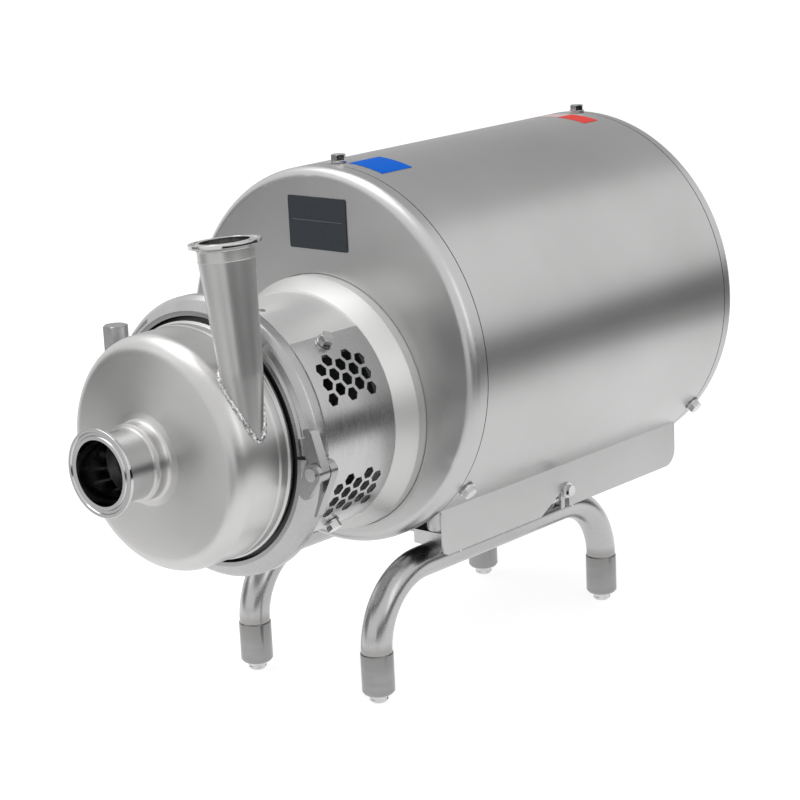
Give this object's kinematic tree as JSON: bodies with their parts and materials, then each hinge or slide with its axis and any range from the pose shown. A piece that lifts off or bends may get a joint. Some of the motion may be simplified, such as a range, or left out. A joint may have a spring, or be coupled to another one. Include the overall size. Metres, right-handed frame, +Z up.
{
  "type": "sanitary centrifugal pump",
  "caption": "Hygienic close-coupled centrifugal pump in stainless steel with clamp ferrules, V-clamped casing, guarded lantern, motor shroud and tube legs with screw feet.",
  "frame": {"origin": "centre of the bounding box on the floor plane, at the underside of the screw feet", "axes": "+Y rearward along the pump axis, +Z up, +X to the side that carries the discharge pipe"},
  "size_m": [0.2894, 0.5694, 0.4042],
  "materials": {
    "satin_stainless": "satin",
    "blasted_stainless": "bead blasted",
    "polished_stainless": "polished",
    "brushed_guard": "brushed",
    "cast_clamp": "cast and tumbled",
    "machined_stainless": "machined",
    "bright_fastener": "bright",
    "leg_stainless": "satin",
    "leg_sleeve": "fine turned",
    "tray_stainless": "satin",
    "zinc_steel": "zinc plated",
    "seal_rubber": "matt",
    "seal_face": "lapped carbon",
    "spring_steel": "drawn",
    "motor_casting": "painted grey",
    "core_steel": "laminated",
    "winding_copper": "enamelled copper",
    "ground_steel": "ground",
    "black_plastic": "moulded",
    "cowl_steel": "painted grey",
    "box_casting": "painted grey",
    "plate_slate": "anodised"
  },
  "bodies": {
    "stand": {"bearing_front": "ground_steel", "bearing_rear": "ground_steel", "cable_gland": "black_plastic", "casing_gasket": "seal_rubber", "clamp_bolt_pin": "bright_fastener", "clamp_hinge_pin": "bright_fastener", "clamp_lower": "cast_clamp", "clamp_upper": "cast_clamp", "discharge_cone": "blasted_stainless", "discharge_ferrule": "polished_stainless", "fan_cowl": "cowl_steel", "foot_spacers": "machined_stainless", "guard_left": "brushed_guard", "guard_right": "brushed_guard", "guard_screws": "bright_fastener", "lantern": "blasted_stainless", "lantern_bolts": "zinc_steel", "leg_sleeves": "leg_sleeve", "leg_tube_left": "leg_stainless", "leg_tube_right": "leg_stainless", "motor_foot_bolts": "zinc_steel", "motor_frame": "motor_casting", "motor_front_shield": "motor_casting", "motor_rear_shield": "motor_casting", "nameplate": "plate_slate", "pump_casing": "blasted_stainless", "pump_cover": "machined_stainless", "seal_stationary_ring": "seal_face", "shroud_bolts": "bright_fastener", "shroud_front_cover": "satin_stainless", "shroud_rear_cover": "satin_stainless", "shroud_wrap": "satin_stainless", "skirt_bolts": "bright_fastener", "stator_core": "core_steel", "stator_windings": "winding_copper", "suction_ferrule": "polished_stainless", "support_tray": "tray_stainless", "terminal_box": "box_casting", "terminal_lid": "box_casting"},
    "rotor": {"pump_shaft": "machined_stainless", "impeller": "machined_stainless", "impeller_nut": "machined_stainless", "shaft_set_screws": "zinc_steel", "seal_rotating_ring": "seal_face", "seal_spring": "spring_steel", "splash_ring": "machined_stainless", "rotor_core": "core_steel", "motor_shaft": "ground_steel", "shaft_key": "zinc_steel", "fan": "black_plastic"},
    "closing_bolt": {"clamp_swing_bolt": "machined_stainless"},
    "closing_washer": {"clamp_washer": "machined_stainless"},
    "closing_nut": {"clamp_nut": "machined_stainless"},
    "foot_front_left": {"foot_screw_front_left": "bright_fastener"},
    "foot_front_right": {"foot_screw_front_right": "bright_fastener"},
    "foot_rear_left": {"foot_screw_rear_left": "bright_fastener"},
    "foot_rear_right": {"foot_screw_rear_right": "bright_fastener"}
  },
  "joints": [
    {"name": "rotor_spin", "type": "hinge", "parent": "stand", "child": "rotor", "pos_m": [0, -0.1247, 0.2194], "axis": [0, 1, 0], "continuous": true},
    {"name": "closing_bolt_swing", "type": "hinge", "parent": "stand", "child": "closing_bolt", "pos_m": [-0.1065, -0.1647, 0.2054], "axis": [0, -1, 0], "range_deg": [0, 100]},
    {"name": "closing_nut_travel", "type": "slide", "parent": "closing_bolt", "child": "closing_washer", "axis": [0, 0, 1], "range_m": [0, 0.0135]},
    {"name": "closing_nut_turn", "type": "hinge", "parent": "closing_washer", "child": "closing_nut", "pos_m": [-0.1065, -0.1647, 0.2494], "axis": [0, 0, 1], "range_deg": [0, 3241]},
    {"name": "foot_front_left_level", "type": "slide", "parent": "stand", "child": "foot_front_left", "axis": [0, 0, -1], "range_m": [0, 0.015]},
    {"name": "foot_front_right_level", "type": "slide", "parent": "stand", "child": "foot_front_right", "axis": [0, 0, -1], "range_m": [0, 0.015]},
    {"name": "foot_rear_left_level", "type": "slide", "parent": "stand", "child": "foot_rear_left", "axis": [0, 0, -1], "range_m": [0, 0.015]},
    {"name": "foot_rear_right_level", "type": "slide", "parent": "stand", "child": "foot_rear_right", "axis": [0, 0, -1], "range_m": [0, 0.015]}
  ],
  "couplings": [
    {"joint": "closing_nut_turn", "follows": "closing_nut_travel", "rad_per_m": 4188.8}
  ]
}
